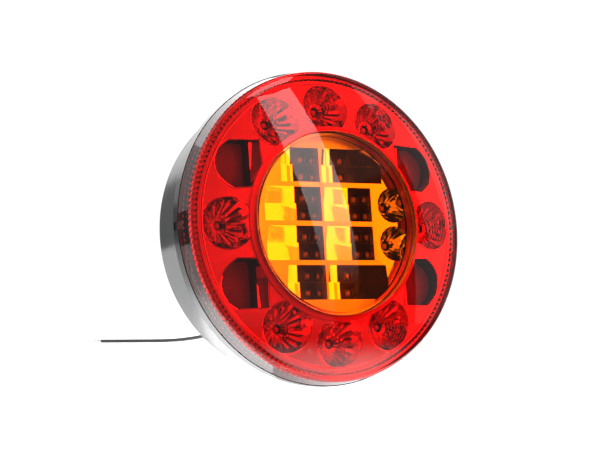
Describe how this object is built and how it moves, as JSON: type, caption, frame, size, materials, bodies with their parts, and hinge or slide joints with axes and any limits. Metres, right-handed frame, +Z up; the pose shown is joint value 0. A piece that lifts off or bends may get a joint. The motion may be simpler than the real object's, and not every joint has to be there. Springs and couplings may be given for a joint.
{
  "type": "trailer tail light",
  "caption": "Round LED trailer tail light: red outer lens, amber centre lens and black housing with rear fixing studs and a flying lead.",
  "frame": {"origin": "on the surface the lamp stands on, under the middle of its bounding box without the lead", "axes": "the lamp stands on its edge and leans back on its flange and rear rim; -Y is the lens side, +X the lamp's right seen from in front, +Z up"},
  "size_m": [0.1406, 0.1642, 0.1383],
  "materials": {
    "housing_black": "glossy moulded ABS",
    "lens_red": "clear red acrylic",
    "lens_amber": "clear amber acrylic",
    "metallised": "vacuum-metallised plastic, mirror bright",
    "board_green": "solder-resist on glass-fibre board",
    "led_package": "moulded LED package with clear dome",
    "component_black": "moulded epoxy",
    "capacitor_can": "brushed can",
    "zinc_steel": "bright zinc plate",
    "sealant": "cured adhesive",
    "grommet_rubber": "moulded rubber",
    "membrane_white": "porous film",
    "lead_black": "PVC insulation",
    "tinned_copper": "tinned strands"
  },
  "bodies": {
    "root": {"rear_housing": "housing_black", "outer_lens": "lens_red", "center_lens": "lens_amber", "seam_sealant": "sealant", "outer_reflector": "metallised", "center_reflector": "metallised", "circuit_board": "board_green", "outer_leds": "led_package", "center_leds": "led_package", "resistors": "component_black", "diodes": "component_black", "driver_chips": "component_black", "capacitors": "capacitor_can", "board_screws": "zinc_steel", "reflector_screws": "zinc_steel", "mounting_studs": "zinc_steel", "breather_plug": "housing_black", "vent_membrane": "membrane_white", "cable_grommet": "grommet_rubber", "inner_lead": "lead_black", "inner_core": "tinned_copper", "solder_joint": "tinned_copper", "supply_lead": "lead_black", "lead_tip": "tinned_copper"}
  },
  "joints": []
}
